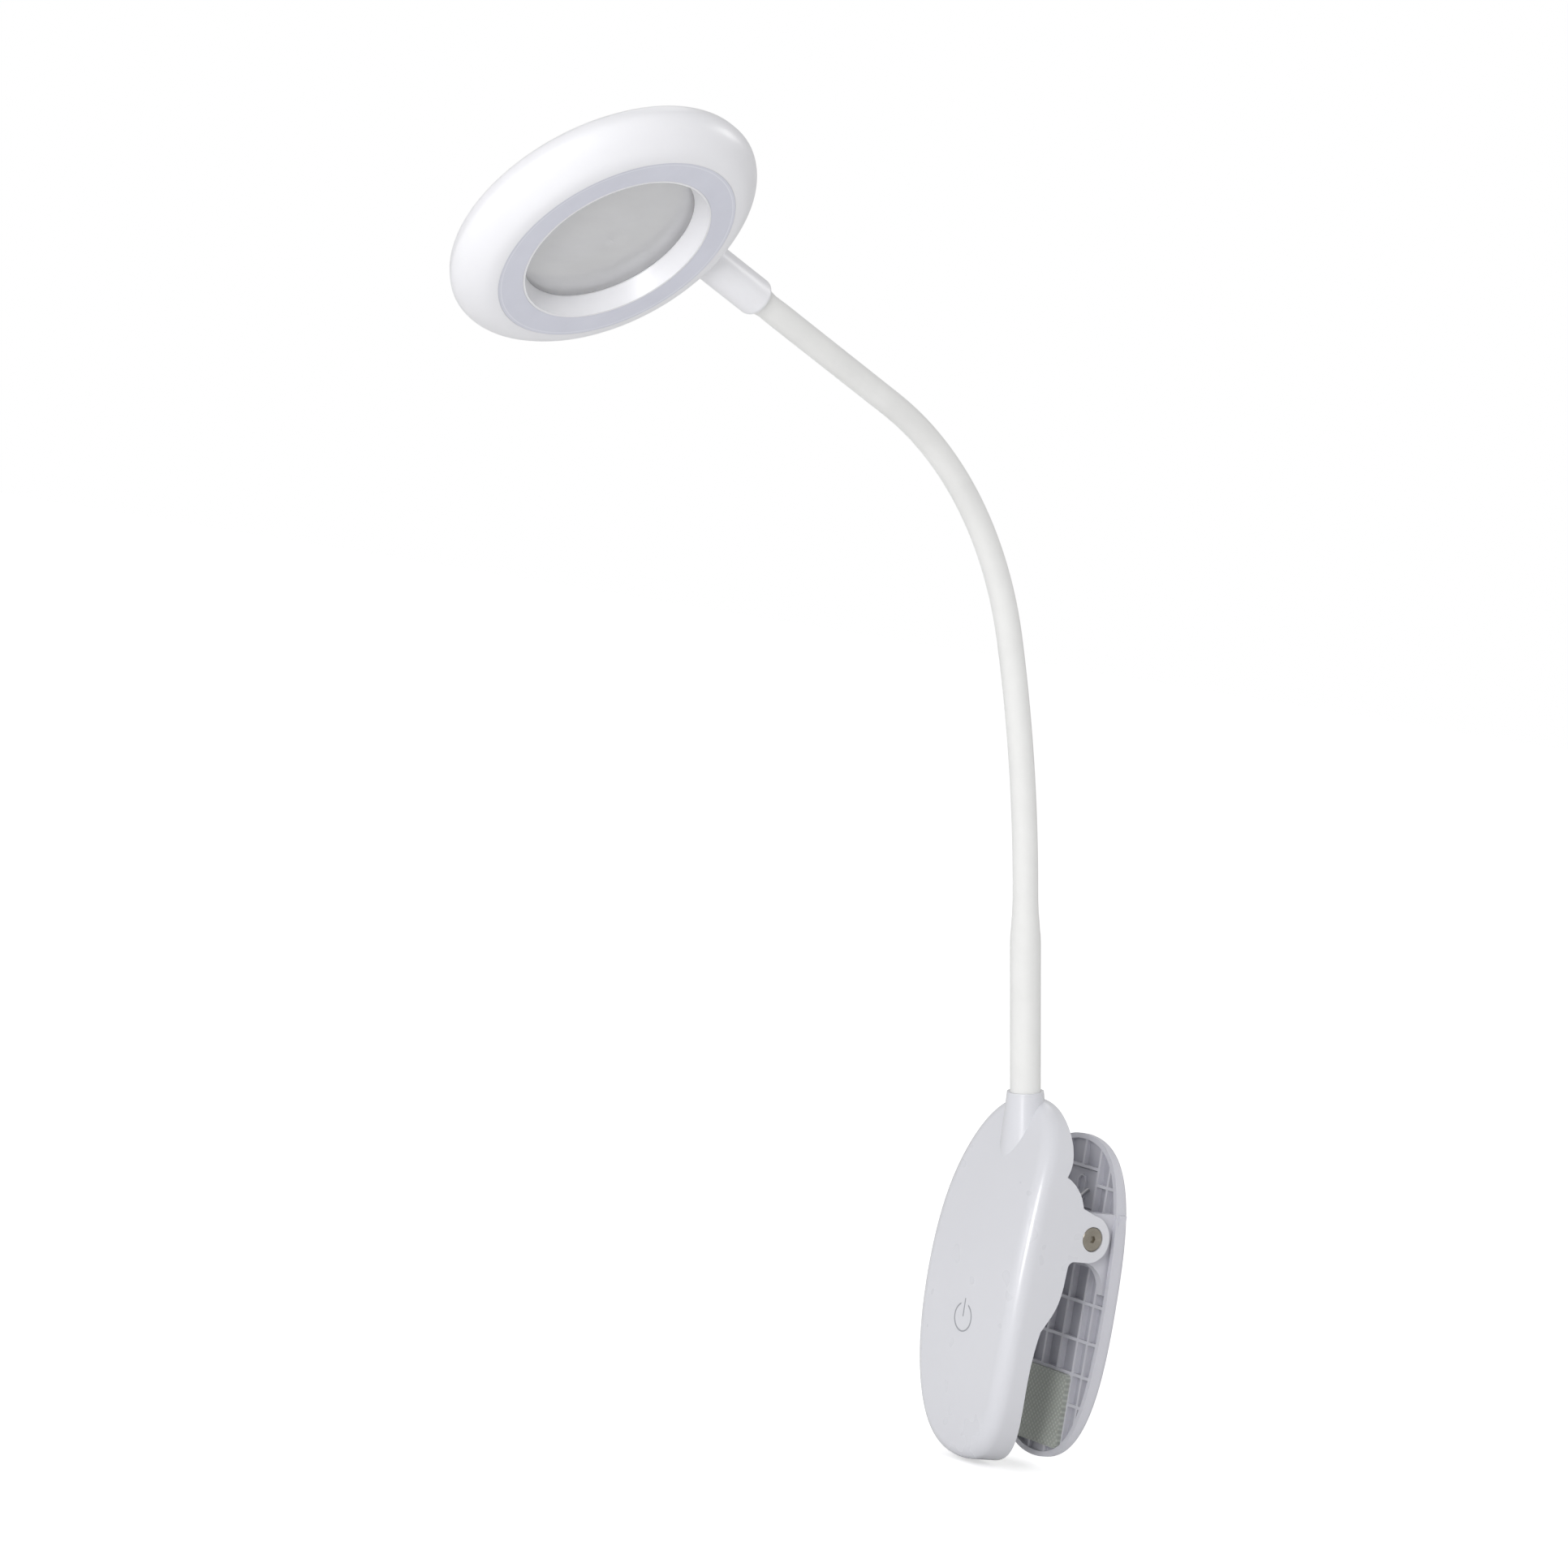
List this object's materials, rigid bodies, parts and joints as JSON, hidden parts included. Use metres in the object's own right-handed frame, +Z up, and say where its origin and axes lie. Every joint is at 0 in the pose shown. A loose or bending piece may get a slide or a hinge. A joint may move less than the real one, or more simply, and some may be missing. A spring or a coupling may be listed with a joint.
{
  "type": "clip-on magnifying lamp",
  "caption": "Ring light with a magnifying lens on a flexible gooseneck, held by a sprung two-jaw clip with a touch key.",
  "frame": {"origin": "middle of the front grip pad's face, where the clip rests against the board it holds", "axes": "+Z up along the clip, +Y out of the front pad's face towards the rear jaw, +X along the hinge pin towards its visible head"},
  "size_m": [0.0978, 0.2841, 0.3611],
  "materials": {
    "white_gloss": "glossy",
    "white_matte": "satin",
    "silicone": "matte",
    "pad_rubber": "textured",
    "grey_print": "matte",
    "nickel": "polished",
    "bright_steel": "satin",
    "diffuser": "frosted",
    "lens": "clear",
    "board": "satin",
    "led": "satin",
    "copper": "bare",
    "foil": "satin"
  },
  "bodies": {
    "clip_front": {"front_shell": "white_gloss", "front_inner_cover": "white_matte", "front_grip_pad": "pad_rubber", "power_symbol": "grey_print", "touch_electrode": "copper", "control_board": "board", "battery": "foil", "charging_socket": "bright_steel", "cover_screws": "bright_steel", "neck_clamp": "white_matte", "neck_ferrule": "bright_steel", "neck_base_core": "bright_steel", "neck_base_sleeve": "silicone", "hinge_pin": "nickel", "hinge_pin_cap": "nickel", "torsion_spring": "bright_steel"},
    "rear_jaw": {"rear_jaw": "white_matte", "rear_grip_pad": "pad_rubber", "spring_seat": "white_matte"},
    "neck_1": {"neck_sleeve_1": "silicone", "neck_core_1": "bright_steel"},
    "neck_2": {"neck_sleeve_2": "silicone", "neck_core_2": "bright_steel"},
    "neck_3": {"neck_sleeve_3": "silicone", "neck_core_3": "bright_steel"},
    "neck_4": {"neck_sleeve_4": "silicone", "neck_core_4": "bright_steel"},
    "neck_5": {"neck_sleeve_5": "silicone", "neck_core_5": "bright_steel"},
    "neck_6": {"neck_sleeve_6": "silicone", "neck_core_6": "bright_steel"},
    "head": {"head_lower_shell": "white_gloss", "head_top_cover": "white_gloss", "diffuser_ring": "diffuser", "led_board": "board", "led_chips": "led", "magnifier_lens": "lens", "lens_retaining_ring": "white_matte", "head_screws": "bright_steel"}
  },
  "joints": [
    {"name": "jaw_hinge", "type": "hinge", "parent": "clip_front", "child": "rear_jaw", "pos_m": [0, 0.0085, 0.053], "axis": [1, 0, 0], "range_deg": [-13, 24], "stiffness_Nm_per_rad": 0.2, "springref_deg": -68.75, "deforming": ["torsion_spring"]},
    {"name": "neck_bend_1", "type": "hinge", "parent": "clip_front", "child": "neck_1", "pos_m": [0.00001, -0.01979, 0.15521], "axis": [0.9781, 0.2037, 0.0415], "range_deg": [-25, 25], "stiffness_Nm_per_rad": 6},
    {"name": "neck_bend_2", "type": "hinge", "parent": "neck_1", "child": "neck_2", "pos_m": [0.00044, -0.02893, 0.19001], "axis": [-0.2068, 0.9332, 0.294], "range_deg": [-25, 25], "stiffness_Nm_per_rad": 5},
    {"name": "neck_bend_3", "type": "hinge", "parent": "neck_2", "child": "neck_3", "pos_m": [0.00154, -0.04112, 0.22385], "axis": [0.9781, 0.2037, 0.0415], "range_deg": [-25, 25], "stiffness_Nm_per_rad": 4},
    {"name": "neck_bend_4", "type": "hinge", "parent": "neck_3", "child": "neck_4", "pos_m": [0.00436, -0.06073, 0.2537], "axis": [-0.1762, 0.7065, 0.6854], "range_deg": [-25, 25], "stiffness_Nm_per_rad": 3.5},
    {"name": "neck_bend_5", "type": "hinge", "parent": "neck_4", "child": "neck_5", "pos_m": [0.00933, -0.08897, 0.27517], "axis": [0.9781, 0.2037, 0.0415], "range_deg": [-25, 25], "stiffness_Nm_per_rad": 3},
    {"name": "neck_bend_6", "type": "hinge", "parent": "neck_5", "child": "neck_6", "pos_m": [0.01563, -0.12187, 0.2883], "axis": [-0.1086, 0.3308, 0.9374], "range_deg": [-25, 25], "stiffness_Nm_per_rad": 2.5},
    {"name": "head_twist", "type": "hinge", "parent": "neck_6", "child": "head", "pos_m": [0.02219, -0.15597, 0.30109], "axis": [0.1773, -0.9214, 0.3457], "range_deg": [-90, 90], "stiffness_Nm_per_rad": 0.6}
  ]
}
